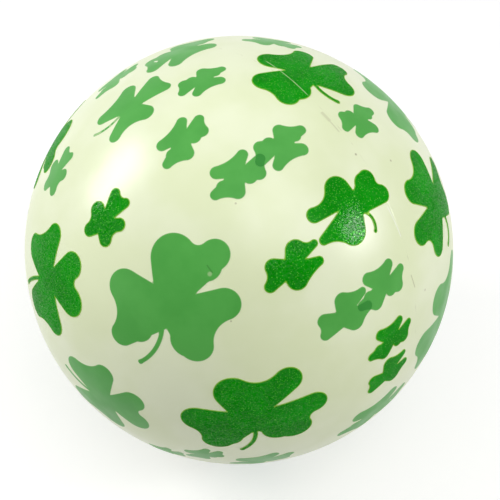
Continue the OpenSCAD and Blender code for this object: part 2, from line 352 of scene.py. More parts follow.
class Shamrock(Enum):
    """The outlines that the stamps are printed from."""

    BROAD = cut(
        [(337.5, 20.9, 10.8), (16, 29.5, 7), (64, 23.5, 7.5),
         (128, 21, 8.5), (213, 30.5, 6), (261, 23.5, 8.5)],
        [(40, 12), (170.5, 12), (292, 12.5)], (4, 12, 12),
        Stem((-24.6, -19.2), 25.5, 30, -36.5, 2.2),
        [(18, 23.6, 6.7), (133, 18, 8.7), (210, 21, 7.2)],
    )
    SPREAD = cut(
        [(330, 18.5, 9.3), (36, 27, 7), (82, 28.8, 6.7),
         (121, 22.7, 8.9), (221, 25.7, 8), (263, 26.1, 8.4)],
        [(57, 11.8), (175, 10.7), (289, 13)], (12, 4, 8),
        Stem((-22.2, -13.8), 23.2, 18, -43, 2.3),
        [(129, 16.6, 9.3), (220, 20.6, 8.5)],
    )
    LEAN = cut(
        [(303, 17, 7), (12, 22.2, 5.3), (55, 27.5, 5),
         (97, 20, 7.2), (209, 21.7, 5.9), (245, 22, 6.3)],
        [(33, 9), (152, 9), (274, 9)], (12, 8, 10),
        Stem((18.5, -2), 15, 192, 257, 2.2),
        [(205, 14.2, 8)],
    )
    TALL = cut(
        [(300, 23, 6), (356, 21.5, 7.3), (55, 27.5, 5),
         (97, 20, 7.2), (203, 19.3, 6.1), (251, 24, 6.2)],
        [(30, 11), (152, 9), (277, 11.5)], (10, 8, 5),
        Stem((2.8, -14.6), 9.2, 55, -53, 2.2),
    )
    FAN = cut(
        [(68, 22.4, 6.8), (116, 19.5, 8.1), (187, 21, 7.5),
         (238, 26.2, 7.6), (312, 21.8, 7.3), (14, 22.3, 6.1)],
        [(149, 9), (270, 10), (41, 9)], (3, 16, 20),
        Stem((-5.8, -83), 83.3, 88, 110, 2.2),
    )
    WAVE = replace(FAN, stem=Stem((-7.1, 34.2), 33.9, -90, -128.5, 2.3))
    SLIM = cut(
        [(324, 20, 3.7), (23, 10, 6.8), (103, 16.4, 4.9),
         (135, 18.9, 4.6), (249, 10.8, 7.1), (291, 21.7, 2.4)],
        [(76, 7.7), (187, 6.6), (318, 8.1)], (8, 2.5, 12),
        Stem((-7, -8.1), 7.6, 15, -75, 1.7),
        [(103, 13.5, 5.7)],
    )
    STEMMED = cut(
        [(22, 19.2, 3), (57, 18.6, 3), (123, 10.8, 4.5),
         (199, 17.3, 3.4), (263, 16.5, 3.6), (337, 14.5, 4.2)],
        [(84, 5.6), (231, 6), (0, 6)], (14, 12, 18),
        Stem((-18.5, 4.5), 15.5, -35, -93, 1.5),
    )
    SPRIG = cut(
        [(52, 12.4, 2.4), (84, 9.6, 3.2), (173, 7.8, 3.3),
         (222, 12.6, 2.4), (273, 8.4, 3), (14, 9.4, 2.5)],
        [(128, 4.6), (246, 5.4), (38, 5.8)], (6, 10, 16), None,
        [(100, 5.8, 3.2), (221, 8, 3.1)],
    )
    SPROUT = cut(
        [(50, 12.6, 2.3), (84, 9.8, 3.2), (187, 7.6, 3.4),
         (222, 12.8, 2.4), (284, 8.4, 3), (12, 9.5, 2.6)],
        [(131, 4.6), (250, 5.4), (37, 5.8)], (6, 10, 14), None,
        [(100, 5.8, 3.2), (225, 8, 3)],
    )
    SQUAT = cut(
        [(350, 8.1, 4), (37, 14.3, 2.1), (70, 12.6, 2.8),
         (106, 6.25, 4.65), (228, 10.8, 2.8), (266, 9.5, 3.4)],
        [(50, 7.8), (177, 4.4), (305, 5.2)], (12, 10, 4),
    )
    BUDDING = cut(
        [(17.5, 12.3, 2.8), (54, 12, 2.5), (111, 7.7, 3.3),
         (183, 9.1, 3.6), (248, 10.9, 3.5), (310, 7.5, 4.2)],
        [(84, 4.7), (217, 8.2), (346, 5.6)], (3, 4, 4),
    )
    CURL = cut(
        [(10, 7.2, 5), (44, 14.1, 1.9), (79, 12.4, 2.3),
         (159, 6, 5.2), (228, 13.4, 2.9), (268, 8.8, 4)],
        [(60, 6.8), (205, 7.6), (312, 5.1)], (4, 25, 5),
    )


@dataclass(frozen=True)
class Stamp:
    """One printed shamrock: its cut, its place on the face, its turn and its size in percent."""

    cut: Shamrock
    bearing: float
    angle: float
    turn: float
    percent: float

    def placing(self) -> np.ndarray:
        """Works out the rotation that carries the flat stamp to its place on the face.

        Returns:
            The rotation as a matrix.
        """
        bearing = math.radians(self.bearing)
        axis = Vector((-math.cos(bearing), math.sin(bearing), 0))
        tilt = Matrix.Rotation(math.radians(self.angle), 3, axis)
        return np.array(tilt @ Matrix.Rotation(math.radians(-self.turn), 3, "Z"))

    def on_ball(self, p: np.ndarray) -> np.ndarray:
        """Flat points carried onto the ball, in the frame of the face."""
        height = np.sqrt(BALL_R**2 - (p**2).sum(-1))
        return np.concatenate([p, height[..., None]], -1) @ self.placing().T

    def flattened(self, v: np.ndarray) -> np.ndarray:
        """Points of the ball laid back into the stamp's own flat drawing."""
        return (v @ self.placing())[..., :2]

    def distance(self, p: np.ndarray) -> np.ndarray:
        """Signed distance of flat points from the stamp's printed edge."""
        size = self.percent / 100
        return size * self.cut.value.distance(p / size)


@dataclass(frozen=True)
class Doubled:
    """Patch where two stamps of one ink lie over each other, drawn in the upper one's flat."""

    upper: Stamp
    lower: Stamp

    def distance(self, p: np.ndarray) -> np.ndarray:
        """Signed distance of flat points from the edge of the patch."""
        below = self.lower.flattened(self.upper.on_ball(p))
        return np.maximum(self.upper.distance(p), self.lower.distance(below))

    def half_width(self) -> float:
        """Half the side of a square that holds the patch."""
        return self.upper.cut.value.half_width() * self.upper.percent / 100


LOWER_SPRIG = Stamp(Shamrock.SPRIG, 358, 17, 2, 105)
UPPER_SPRIG = Stamp(Shamrock.SPRIG, 23, 26, 181, 106)
LOWER_SPROUT = Stamp(Shamrock.SPROUT, 104, 36, 8, 108)
UPPER_SQUAT = Stamp(Shamrock.SQUAT, 123, 29.5, 0, 103)
LIGHT_STAMPS = [
    Stamp(Shamrock.BROAD, 231, 19.5, 25, 100),
    Stamp(Shamrock.WAVE, 222, 59, 5, 93),
    Stamp(Shamrock.LEAN, 46, 72, 322, 100),
    Stamp(Shamrock.LEAN, 107, 73, 0, 118),
    Stamp(Shamrock.STEMMED, 323, 47.5, 0, 100),
    Stamp(Shamrock.SPRIG, 344, 64, 168, 155),
    Stamp(Shamrock.SPRIG, 140, 68, 13, 150),
    Stamp(Shamrock.SPRIG, 332.3, 29.4, 343, 105),
    Stamp(Shamrock.SPRIG, 348, 45, 180, 95),
    LOWER_SPRIG,
    Stamp(Shamrock.SPROUT, 43, 47, 184, 97),
    LOWER_SPROUT,
    Stamp(Shamrock.BUDDING, 293, 57, 0, 95),
    Stamp(Shamrock.SPRIG, 190, 64.5, 5, 85),
    Stamp(Shamrock.SPRIG, 324, 68, 346, 100),
    Stamp(Shamrock.SPRIG, 9, 69, 42, 105),
    Stamp(Shamrock.SPRIG, 174, 69, 15, 120),
    Stamp(Shamrock.SPRIG, 200, 73, 10, 85),
]
LAPPED_STAMPS = [UPPER_SPRIG, UPPER_SQUAT]
DARK_STAMPS = [
    Stamp(Shamrock.SPREAD, 175, 43, 358, 100),
    Stamp(Shamrock.FAN, 261, 54, 0, 100),
    Stamp(Shamrock.LEAN, 20, 51.5, 0, 100),
    Stamp(Shamrock.TALL, 77, 60, 338, 102),
    Stamp(Shamrock.BROAD, 300, 78.5, 125, 88),
    Stamp(Shamrock.SLIM, 69, 28.5, 292, 100),
    Stamp(Shamrock.BUDDING, 283, 32.5, 0, 100),
    Stamp(Shamrock.CURL, 107, 12.5, 0, 100),
    Stamp(Shamrock.SPROUT, 120.3, 46.2, 10, 100),
    Stamp(Shamrock.SQUAT, 130.2, 54.5, 0, 93),
]
DOUBLED_PATCHES = [Doubled(UPPER_SPRIG, LOWER_SPRIG), Doubled(UPPER_SQUAT, LOWER_SPROUT)]


# Meshes of the flat outlines

# How a traced loop is spaced and settled on its outline
FEWEST_POINTS = 8
SETTLING_ROUNDS = 2
SLOPE_STEP = 0.02
LEAST_SLOPE_SQUARED = 0.25
LONGEST_MOVE = 0.1


def trace(outline: Outline, level: float, pitch: float) -> list[np.ndarray]:
    """Walks round an outline at one level of its distance.

    Args:
        outline: Shape to trace.
        level: Signed distance at which to walk.
        pitch: Spacing of the points along the loop.

    Returns:
        The closed loops, each as evenly spaced points.
    """
    grid = 0.5 * pitch
    axis = np.arange(-outline.half_width(), outline.half_width() + grid, grid)
    x, y = np.meshgrid(axis, axis, indexing="ij")
    value = outline.distance(np.stack([x, y], -1)) - level
    inside = value < 0
    count = inside[:-1, :-1].astype(int) + inside[1:, :-1] + inside[1:, 1:] + inside[:-1, 1:]
    points: dict[Edge, np.ndarray] = {}
    joined: dict[Edge, list[Edge]] = {}

    def crossing(way: int, i: int, j: int) -> Edge | None:
        """Keeps the point where the outline crosses an edge of the grid.

        Args:
            way: 0 for an edge along x, 1 for one along y.
            i: Number of the edge's first grid point along x.
            j: Number of the edge's first grid point along y.

        Returns:
            The name of the edge, or None where the outline doesn't cross it.
        """
        a, b = (i, j), (i + 1 - way, j + way)
        if inside[a] == inside[b]:
            return None
        share = value[a] / (value[a] - value[b])
        start, stop = np.array([axis[a[0]], axis[a[1]]]), np.array([axis[b[0]], axis[b[1]]])
        points[(way, i, j)] = start + share * (stop - start)
        return (way, i, j)

    for i, j in np.argwhere((count > 0) & (count < 4)):
        edges = [crossing(0, i, j), crossing(1, i + 1, j), crossing(0, i, j + 1), crossing(1, i, j)]
        found = [edge for edge in edges if edge]
        for a, b in zip(found[::2], found[1::2]):
            joined.setdefault(a, []).append(b)
            joined.setdefault(b, []).append(a)
    loops = []
    while joined:
        here = next(iter(joined))
        walk = []
        while here is not None:
            walk.append(points[here])
            here = next((n for n in joined.pop(here) if n in joined), None)
        loops.append(respaced(outline, np.array(walk), level, pitch))
    return loops


def respaced(outline: Outline, walk: np.ndarray, level: float, pitch: float) -> np.ndarray:
    """Spaces a traced loop evenly and settles its points on the outline.

    Args:
        outline: Shape that was traced.
        walk: Points of the loop as they were found.
        level: Signed distance at which the loop runs.
        pitch: Spacing wanted along the loop.

    Returns:
        The evenly spaced points.
    """
    closed = np.vstack([walk, walk[:1]])
    run = np.concatenate([[0], np.cumsum(np.linalg.norm(np.diff(closed, axis=0), axis=1))])
    places = np.linspace(0, run[-1], max(FEWEST_POINTS, round(run[-1] / pitch)) + 1)[:-1]
    p = np.stack([np.interp(places, run, closed[:, k]) for k in (0, 1)], -1)
    for _ in range(SETTLING_ROUNDS):
        slope = np.stack([
            outline.distance(p + step) - outline.distance(p - step)
            for step in SLOPE_STEP * np.eye(2)
        ], -1) / (2 * SLOPE_STEP)
        off = (outline.distance(p) - level) / np.maximum((slope**2).sum(-1), LEAST_SLOPE_SQUARED)
        p = p - np.clip(off, -LONGEST_MOVE, LONGEST_MOVE)[:, None] * slope
    return p


@dataclass(frozen=True)
class Plate:
    """Flat closed slab of a stamp, 0 at its underside and 1 at its top, with a soft rim marked on it."""

    name: str
    outline: Outline
    pitch: float
    rim: float = 0.7
    rim_spacing: float = 1.3
    fill: float = 2.6
    merging: float = 1e-6

    def triangles(self) -> tuple[np.ndarray, np.ndarray]:
        """Fills the outline with triangles.

        Returns:
            The flat points, and the triangles as rows of point numbers.
        """
        loops = trace(self.outline, 0.0, self.pitch)
        bounds, start = [], 0
        for loop in loops:
            ring = np.arange(start, start + len(loop))
            bounds += list(zip(ring.tolist(), np.roll(ring, -1).tolist()))
            start += len(loop)
        axis = np.arange(-self.outline.half_width(), self.outline.half_width(), self.fill)
        inner = np.stack(np.meshgrid(axis, axis, indexing="ij"), -1).reshape(-1, 2)
        inner[:, 0] += np.where(np.round(inner[:, 1] / self.fill) % 2, 0.5 * self.fill, 0)
        inner = inner[self.outline.distance(inner) < -self.rim - 0.5 * self.fill]
        rims = trace(self.outline, -self.rim, self.rim_spacing * self.pitch)
        flat = np.vstack([*loops, *rims, inner])
        found = geometry.delaunay_2d_cdt([Vector(p) for p in flat], bounds, [], 0, self.merging)
        p = np.array([tuple(v) for v in found[0]])
        faces = np.array(found[2])
        middle = p[faces].mean(1)
        kept = np.zeros(len(faces), bool)
        for loop in loops:
            kept ^= polygon_distance(middle, list(loop)) < 0
        return p, faces[kept]

    def build(self, into: bpy.types.Collection) -> bpy.types.Object:
        """Makes the slab's mesh.

        Args:
            into: Collection that holds the plates of a print.

        Returns:
            The slab as an object.
        """
        p, faces = self.triangles()
        a, b, c = (p[faces[:, k]] for k in range(3))
        turn = (b[:, 0] - a[:, 0]) * (c[:, 1] - a[:, 1]) - (b[:, 1] - a[:, 1]) * (c[:, 0] - a[:, 0])
        faces = np.where((turn > 0)[:, None], faces, faces[:, ::-1])
        count = len(p)
        edges = {(int(f[k]), int(f[(k + 1) % 3])) for f in faces for k in range(3)}
        walls = [(n, m, m + count, n + count) for n, m in edges if (m, n) not in edges]
        top = faces + count
        verts = np.vstack([np.column_stack([p, np.zeros(count)]), np.column_stack([p, np.ones(count)])])
        mesh = bpy.data.meshes.new(self.name)
        mesh.from_pydata(verts.tolist(), [], top.tolist() + faces[:, ::-1].tolist() + walls)
        depth = np.clip(-self.outline.distance(p) / self.rim, 0, 1)
        mesh.attributes.new(RIM, "FLOAT", "POINT").data.foreach_set("value", np.tile(depth, 2))
        plate = bpy.data.objects.new(self.name, mesh)
        into.objects.link(plate)
        return plate


# Node trees

# Colour sockets of a Mix node: both inputs and the result
MIX_A, MIX_B, MIXED = 6, 7, 2


class Sheet:
    """A node tree that is filled one node at a time."""

    def __init__(self, tree: bpy.types.NodeTree) -> None:
        """Keeps the tree and clears it."""
        self.tree = tree
        tree.nodes.clear()

    def add(self, kind: str, given: dict[str | int, object] | None = None,
            **settings: object) -> bpy.types.Node:
        """Adds a node.

        Args:
            kind: Type of the node.
            given: What each input takes: a socket to join to, or a plain value.
            **settings: Settings of the node itself.

        Returns:
            The new node.
        """
        node = self.tree.nodes.new(kind)
        for key, value in settings.items():
            setattr(node, key, value)
        for key, value in (given or {}).items():
            if isinstance(value, Socket):
                self.tree.links.new(value, node.inputs[key])
            else:
                node.inputs[key].default_value = value
        return node

    def math(self, operation: str, *values: Socket | float) -> Socket:
        """Adds a sum of one, two or three values and returns its result."""
        return self.add("ShaderNodeMath", dict(enumerate(values)), operation=operation).outputs[0]

    def times(self, a: Socket | float, b: Socket | float) -> Socket:
        """Multiplies two values and returns the product."""
        return self.math("MULTIPLY", a, b)

    def most(self, *values: Socket) -> Socket:
        """Returns the greatest of some values."""
        return reduce(lambda a, b: self.math("MAXIMUM", a, b), values)

    def vector(self, operation: str, a: object, b: object) -> bpy.types.Node:
        """Adds a vector sum of two values and returns its node."""
        return self.add("ShaderNodeVectorMath", {0: a, 1: b}, operation=operation)

    def ramp(self, value: Socket, low: float, high: float,
             to_low: float = 0.0, to_high: float = 1.0) -> Socket:
        """Maps a value smoothly from one range to another.

        Args:
            value: Value to map.
            low: Start of its range.
            high: End of its range.
            to_low: Result at the start.
            to_high: Result at the end.

        Returns:
            The mapped value, held inside the new range.
        """
        given = {"Value": value, "From Min": low, "From Max": high, "To Min": to_low, "To Max": to_high}
        return self.add("ShaderNodeMapRange", given, interpolation_type="SMOOTHSTEP").outputs[0]

    def blend(self, share: Socket, a: Socket | Tone, b: Socket | Tone) -> Socket:
        """Mixes two colours by a share and returns the result."""
        return self.add("ShaderNodeMix", {0: share, MIX_A: a, MIX_B: b}, data_type="RGBA").outputs[MIXED]


# Patterns and marks of the finishes

# Share of a mark's reach over which it keeps its full strength
LINE_CORE = 0.3
SPOT_CORE = 0.4
SPECK_CORE = 0.4
SCRATCH_RUN = 0.8
# Softness of the choice between cells with a speck and empty ones
SPECK_SPREAD = 0.2


@dataclass(frozen=True)
class Mottle:
    """A noise pattern: scale to a metre, detail, the range that is spread over another, roughness."""

    scale: float
    detail: float
    low: float
    high: float
    to_low: float = 0.0
    to_high: float = 1.0
    rough: float = 0.5


@dataclass(frozen=True)
class Grain:
    """A fine relief: scale to a metre, detail, height in mm, how strongly it shows, roughness."""

    scale: float
    detail: float
    height: float
    strength: float
    rough: float = 0.5


@dataclass(frozen=True)
class Specks:
    """A scatter of round specks: cells to a metre, share of empty cells, and size against a cell."""

    scale: float
    rarity: float
    size: float


@dataclass(frozen=True)
class Mark:
    """A small mark on the ball: its place on the face, its size in mm and how strong it is."""

    bearing: float
    angle: float
    radius: float
    strength: float

    def point(self) -> Vector:
        """Place of the mark on the ball, in metres."""
        return outward(self.bearing, self.angle) * BALL_R * MM


@dataclass(frozen=True)
class Scratch:
    """A straight scratch: bearing and angle of its two ends, its half width in mm and its strength."""

    start: tuple[float, float]
    end: tuple[float, float]
    half_width: float
    strength: float

    def ends(self) -> tuple[Vector, Vector]:
        """Both ends of the scratch on the ball, in metres."""
        return outward(*self.start) * BALL_R * MM, outward(*self.end) * BALL_R * MM


class Paint(Sheet):
    """The tree of one material, with the patterns that the finishes share."""

    def __init__(self, name: str) -> None:
        """Starts an empty material that reads the piece's own coordinates.

        Args:
            name: Name of the material.
        """
        self.material = bpy.data.materials.new(name)
        self.material.use_nodes = True
        super().__init__(self.material.node_tree)
        self.place: Socket = self.add("ShaderNodeTexCoord").outputs["Object"]

    def noise(self, scale: float, detail: float, rough: float) -> Socket:
        """Adds a noise pattern and returns its value."""
        given = {"Vector": self.place, "Scale": scale, "Detail": detail, "Roughness": rough}
        return self.add("ShaderNodeTexNoise", given).outputs["Fac"]

    def mottle(self, mottle: Mottle) -> Socket:
        """Adds a noise pattern, spread over its new range, and returns its value."""
        value = self.noise(mottle.scale, mottle.detail, mottle.rough)
        return self.ramp(value, mottle.low, mottle.high, mottle.to_low, mottle.to_high)

    def clouded(self, cloud: Mottle, a: Tone, b: Tone) -> Socket:
        """Mixes two colours by a noise pattern and returns the result."""
        return self.blend(self.mottle(cloud), a, b)

    def relief(self, grain: Grain) -> Socket:
        """Turns a fine relief into a bumped normal.

        Args:
            grain: Relief to show.

        Returns:
            The bumped normal.
        """
        height = self.noise(grain.scale, grain.detail, grain.rough)
        given = {"Height": height, "Distance": grain.height * MM, "Strength": grain.strength}
        return self.add("ShaderNodeBump", given).outputs[0]

    def rim(self, width: float, strength: float) -> Socket:
        """Marks the rim of a print over a share of its soft rim, strongest at the edge."""
        depth = self.add("ShaderNodeAttribute", attribute_name=RIM).outputs["Fac"]
        return self.ramp(depth, 0.0, width, strength, 0.0)

    def near(self, point: Vector, inner: float, outer: float) -> Socket:
        """Marks the neighbourhood of a point.

        Args:
            point: Middle of the mark.
            inner: Distance up to which the mark is full, in metres.
            outer: Distance at which it has faded out, in metres.

        Returns:
            The strength of the mark.
        """
        away = self.vector("DISTANCE", self.place, point).outputs["Value"]
        return self.ramp(away, inner, outer, 1.0, 0.0)

    def line(self, normal: Vector, half_width: float) -> Socket:
        """Marks the line where the plane square to a normal cuts the ball.

        Args:
            normal: Direction square to the plane.
            half_width: Distance from the plane over which the mark fades out, in mm.

        Returns:
            The strength of the mark at each place.
        """
        height = self.vector("DOT_PRODUCT", self.place, normal).outputs["Value"]
        half = half_width * MM
        return self.ramp(self.math("ABSOLUTE", height), LINE_CORE * half, half, 1.0, 0.0)

    def spot(self, mark: Mark) -> Socket:
        """Marks a place on the ball as strongly as the mark says, fading towards its edge."""
        patch = self.near(mark.point(), SPOT_CORE * mark.radius * MM, mark.radius * MM)
        return self.times(patch, mark.strength)

    def scratch(self, scratch: Scratch) -> Socket:
        """Marks a straight scratch as strongly as it says, fading towards its edges.

        Args:
            scratch: Scratch to mark.

        Returns:
            The strength of the mark at each place.
        """
        start, end = scratch.ends()
        middle = (start + end).normalized() * BALL_R * MM
        reach = 0.5 * (end - start).length
        thin = self.line(start.cross(end).normalized(), scratch.half_width)
        mark = self.times(thin, self.near(middle, SCRATCH_RUN * reach, reach))
        return self.times(mark, scratch.strength)

    def specks(self, specks: Specks) -> Socket:
        """Scatters round specks.

        Args:
            specks: Scatter to show.

        Returns:
            The strength of the speck at each place.
        """
        cells = self.add("ShaderNodeTexVoronoi", {"Vector": self.place, "Scale": specks.scale})
        chance = self.add("ShaderNodeSeparateColor", {0: cells.outputs["Color"]}).outputs[0]
        kept = self.ramp(chance, specks.rarity, specks.rarity + SPECK_SPREAD)
        core = self.ramp(cells.outputs["Distance"], SPECK_CORE * specks.size, specks.size, 1.0, 0.0)
        return self.times(kept, core)

    def finish(self, given: dict[str | int, object]) -> bpy.types.Material:
        """Ends the tree in a shader.

        Args:
            given: What each input of the shader takes.

        Returns:
            The finished material.
        """
        shader = self.add("ShaderNodeBsdfPrincipled", {"IOR": PLASTIC_IOR, **given})
        self.add("ShaderNodeOutputMaterial", {"Surface": shader.outputs[0]})
        return self.material


# Finishes


@dataclass(frozen=True)
class CreamVinyl:
    """Glossy cream vinyl: faint mottling, a trace of the parting line, a few specks of dirt and a painted
    seam highlight.
    """

    name: str = "glossy_cream_vinyl"
    cream: Tone = tone(236, 243, 208)
    deep: Tone = tone(227, 236, 192)
    # Brown of the dirt in the seam, the marks and the smears
    darker_tone: Tone = tone(136, 126, 76)
    # Near-white of the highlight painted along part of the seam
    seam_glint_tone: Tone = tone(250, 252, 240)
    marks: tuple[Mark, ...] = (
        Mark(50.7, 37.2, 0.8, 0.6),
        Mark(59.5, 46.3, 0.8, 0.5),
        Mark(102.1, 52.8, 0.9, 0.35),
        Mark(356, 10.3, 0.7, 0.4),
        Mark(186.4, 16.0, 0.6, 0.5),
    )
    smears: tuple[Scratch, ...] = (
        Scratch((30.6, 40.5), (35.5, 39.4), 1.4, 0.25),
        Scratch((31.2, 40.3), (40.8, 38.4), 0.6, 0.25),
        Scratch((98, 45.2), (102.2, 48), 0.5, 0.4),
    )
    # Pale line painted along part of the seam as its highlight
    seam_glint: Scratch = Scratch((73.1, 38.3), (85.9, 41.3), 0.45, 0.6)
    parting: float = 0.3
    cloud: Mottle = Mottle(22, 3, 0.35, 0.65)
    grime: Mottle = Mottle(160, 3, 0.5, 0.66, 0.0, 0.3, 0.6)
    gloss: Mottle = Mottle(60, 3, 0.3, 0.7, 0.285, 0.315)
    pores: Grain = Grain(900, 2, 0.02, 0.12)
    specular: float = 0.75

    def make(self) -> bpy.types.Material:
        """Builds the material.

        Returns:
            The material.
        """
        paint = Paint(self.name)
        darkened = [paint.times(paint.line(VALVE_AXIS, self.parting), paint.mottle(self.grime))]
        darkened += [paint.spot(mark) for mark in self.marks]
        darkened += [paint.scratch(smear) for smear in self.smears]
        colour = paint.clouded(self.cloud, self.cream, self.deep)
        colour = paint.blend(paint.most(*darkened), colour, self.darker_tone)
        return paint.finish({
            # The pale line along the seam is a painted highlight
            "Base Color": paint.blend(paint.scratch(self.seam_glint), colour, self.seam_glint_tone),
            "Roughness": paint.mottle(self.gloss),
            "Normal": paint.relief(self.pores),
            "Specular IOR Level": self.specular,
        })


@dataclass(frozen=True)
class LightInk:
    """Satin light green ink, thin at its rim and the parting line, with a nick, and pinholes and a dent
    with painted shade.
    """

    name: str = "satin_light_ink"
    ink: Tone = tone(84, 172, 75)
    deep: Tone = tone(76, 164, 68)
    bare: Tone = tone(190, 216, 162)
    # Dark green painted into the pinholes and the dent as their shade
    pit_shade: Tone = tone(44, 104, 40)
    nick: Mark = Mark(230.6, 8.3, 1.4, 0.5)
    shaded_dent: Scratch = Scratch((245.8, 7.8), (228.2, 7.7), 0.5, 0.45)
    parting: float = 0.3
    parting_wear: float = 0.15
    thin_rim: tuple[float, float] = (0.55, 0.55)
    shaded_pits: Specks = Specks(190, 0.9, 0.05)
    cloud: Mottle = Mottle(55, 4, 0.35, 0.65)
    gloss: Mottle = Mottle(90, 3, 0.3, 0.7, 0.3, 0.42)
    grain: Grain = Grain(1500, 2, 0.02, 0.3)
    specular: float = 0.2

    def make(self) -> bpy.types.Material:
        """Builds the material.

        Returns:
            The material.
        """
        paint = Paint(self.name)
        colour = paint.clouded(self.cloud, self.ink, self.deep)
        # Painted shade in the pinholes and in the dent
        shaded_pits = paint.most(paint.specks(self.shaded_pits), paint.scratch(self.shaded_dent))
        colour = paint.blend(shaded_pits, colour, self.pit_shade)
        line = paint.times(paint.line(VALVE_AXIS, self.parting), self.parting_wear)
        bare = paint.most(paint.rim(*self.thin_rim), paint.spot(self.nick), line)
        return paint.finish({
            "Base Color": paint.blend(bare, colour, self.bare),
            "Roughness": paint.mottle(self.gloss),
            "Normal": paint.relief(self.grain),
            "Specular IOR Level": self.specular,
        })


@dataclass(frozen=True)
class GlitterInk:
    """Dark green ink with fine pale flakes, a sparkling coat and a yellow-green fringe where it thins."""

    name: str = "dark_glitter_ink"
    ink: Tone = tone(0, 150, 0)
    deep: Tone = tone(0, 134, 0)
    flake: Tone = tone(92, 196, 56)
    fringe: Tone = tone(174, 216, 84)
    crease: Tone = tone(176, 212, 150)
    creased: Scratch = Scratch((7.5, 53.4), (24.7, 43.2), 0.4, 0.8)
    thin_rim: tuple[float, float] = (0.9, 0.7)
    flakes: Specks = Specks(1300, 0.4, 0.45)
    flake_colour: float = 0.6
    flake_metal: float = 0.3
    cloud: Mottle = Mottle(70, 4, 0.35, 0.65)
    wear: Mottle = Mottle(220, 3, 0.3, 0.55, 0.4, 1.0)
    gloss: Mottle = Mottle(1200, 2, 0.4, 0.62, 0.2, 0.3, 0.6)
    grit: Grain = Grain(1200, 2, 0.08, 0.7, 0.6)
    specular: float = 0.0
    sparkle: Mottle = Mottle(1100, 1, 0.4, 0.6, 0.06, 0.32)
    coat_roughness: float = 0.1

    def make(self) -> bpy.types.Material:
        """Builds the material.

        Returns:
            The material.
        """
        paint = Paint(self.name)
        colour = paint.clouded(self.cloud, self.ink, self.deep)
        flakes = paint.specks(self.flakes)
        colour = paint.blend(paint.times(flakes, self.flake_colour), colour, self.flake)
        colour = paint.blend(paint.rim(*self.thin_rim), colour, self.fringe)
        worn = paint.times(paint.scratch(self.creased), paint.mottle(self.wear))
        grit = paint.relief(self.grit)
        return paint.finish({
            "Base Color": paint.blend(worn, colour, self.crease),
            "Metallic": paint.times(flakes, self.flake_metal),
            "Roughness": paint.mottle(self.gloss),
            "Normal": grit,
            "Specular IOR Level": self.specular,
            "Coat Weight": paint.mottle(self.sparkle),
            "Coat Roughness": self.coat_roughness,
            "Coat Normal": grit,
        })


@dataclass(frozen=True)
class ValvePlastic:
    """Satin moulded plastic of the valve, with fine grain and darker yellow-grey patches deeper in its
    hollows.
    """

    name: str
    body: Tone
    deep: Tone
    # Colour of the patches that darken the plastic deeper in its hollows
    darker_tone: Tone = tone(150, 146, 118)
    darker_depth: float = 0.6
    darker_fade: float = 1.2
    cloud: Mottle = Mottle(180, 3, 0.3, 0.7)
    patches: Mottle = Mottle(700, 3, 0.45, 0.7, 0.0, 0.5)
    gloss: Mottle = Mottle(400, 2, 0.3, 0.7, 0.32, 0.46)
    grain: Grain = Grain(2500, 2, 0.02, 0.35)

    def make(self) -> bpy.types.Material:
        """Builds the material.

        Returns:
            The material.
        """
        paint = Paint(self.name)
        colour = paint.clouded(self.cloud, self.body, self.deep)
        height = paint.vector("DOT_PRODUCT", paint.place, VALVE_AXIS).outputs["Value"]
        # Darker yellow-grey patches fade in below this depth under the ball's surface and cover what lies
        # deeper
        top = (BALL_R - self.darker_depth) * MM
        low = paint.ramp(height, top - self.darker_fade * MM, top, 1.0, 0.0)
        darkened = paint.times(low, paint.mottle(self.patches))
        return paint.finish({
            "Base Color": paint.blend(darkened, colour, self.darker_tone),
            "Roughness": paint.mottle(self.gloss),
            "Normal": paint.relief(self.grain),
        })


# Pieces


def settle(piece: bpy.types.Object, body: str, slot: str, *nodes: str) -> bpy.types.Object:
    """Puts a finished piece on its body.

    Args:
        piece: Finished piece.
        body: Body that it rides on.
        slot: Material slot of the record that it belongs to; not used.
        *nodes: Nodes of the frame that it stands for.

    Returns:
        The same piece.
    """
    bpy.context.scene.collection.objects.link(piece)
    piece.data.shade_smooth()
    piece.data.set_sharp_from_angle(angle=math.radians(SHARP_EDGE))
    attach(piece, body)
    if nodes:
        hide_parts(*nodes)
    LOG.info("%s: %d faces, rides on %s", piece.name, len(piece.data.polygons), body)
    return piece


